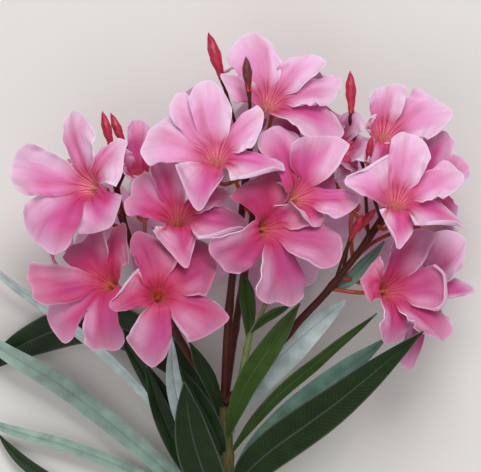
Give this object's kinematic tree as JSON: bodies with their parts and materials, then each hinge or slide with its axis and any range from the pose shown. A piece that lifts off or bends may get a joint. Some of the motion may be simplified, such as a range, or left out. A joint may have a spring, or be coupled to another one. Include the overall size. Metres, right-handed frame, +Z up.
{
  "type": "cut oleander flowering branch",
  "caption": "Cut flowering branch of a pink oleander lying on its back: open five-petalled blooms, crimson buds and long narrow leaves on a forked stem.",
  "frame": {"origin": "under the middle of the branch's box, on the surface it lies on", "axes": "+Z up from the surface, +Y from the cut end of the stem towards the flower head's tip, +X to the right of the best side"},
  "size_m": [0.1926, 0.218, 0.0903],
  "materials": {
    "stem": "smooth young bark, olive to brown",
    "green_shoot": "smooth soft green shoot",
    "flower_stalk": "smooth, red-brown",
    "petal": "soft satin, veined, near white at the rim and red at the throat",
    "bud": "satin, rolled petals",
    "leaf": "leathery, dull gloss, pale midrib"
  },
  "bodies": {
    "root": {"main_stem": "stem", "side_shoot": "green_shoot", "side_shoot_fork": "green_shoot", "peduncle_left": "flower_stalk", "peduncle_middle": "flower_stalk", "peduncle_right": "flower_stalk", "peduncle_back": "flower_stalk", "bud_top_left": "bud", "bud_top": "bud", "bud_left": "bud", "bud_left_inner": "bud", "bud_right_top": "bud", "bud_right_inner": "bud", "bud_right_low": "bud", "bud_right_low_inner": "bud", "bloom_front_low": "petal", "bloom_front_left": "petal", "bloom_upper_middle": "petal", "bloom_front_middle": "petal", "bloom_centre_right": "petal", "bloom_right": "petal", "bloom_left_upper": "petal", "bloom_left_lower": "petal", "bloom_right_low": "petal", "bloom_top": "petal", "bloom_right_top": "petal", "bloom_left_behind": "petal", "bloom_top_behind": "petal", "bloom_right_behind": "petal", "bloom_far_right": "petal", "bloom_far_right_low": "petal", "bloom_back_left": "petal", "bloom_back_middle": "petal", "bloom_back_right": "petal", "bloom_back_low": "petal", "bloom_flank_left": "petal", "bloom_flank_right": "petal", "bloom_flank_top": "petal", "leaf_right_front": "leaf", "leaf_right_middle": "leaf", "leaf_right_narrow": "leaf", "leaf_front_olive": "leaf", "leaf_right_pale": "leaf", "leaf_front": "leaf", "leaf_front_narrow": "leaf", "leaf_left_short": "leaf", "leaf_left_teal": "leaf", "leaf_left_dark": "leaf", "leaf_left_inner": "leaf", "leaf_left_edge": "leaf", "leaf_left_long": "leaf", "leaf_left_low": "leaf", "leaf_left_lowest": "leaf", "leaf_left_broad": "leaf", "leaf_shoot": "leaf", "leaf_shoot_right": "leaf", "leaf_peduncle": "leaf"}
  },
  "joints": []
}
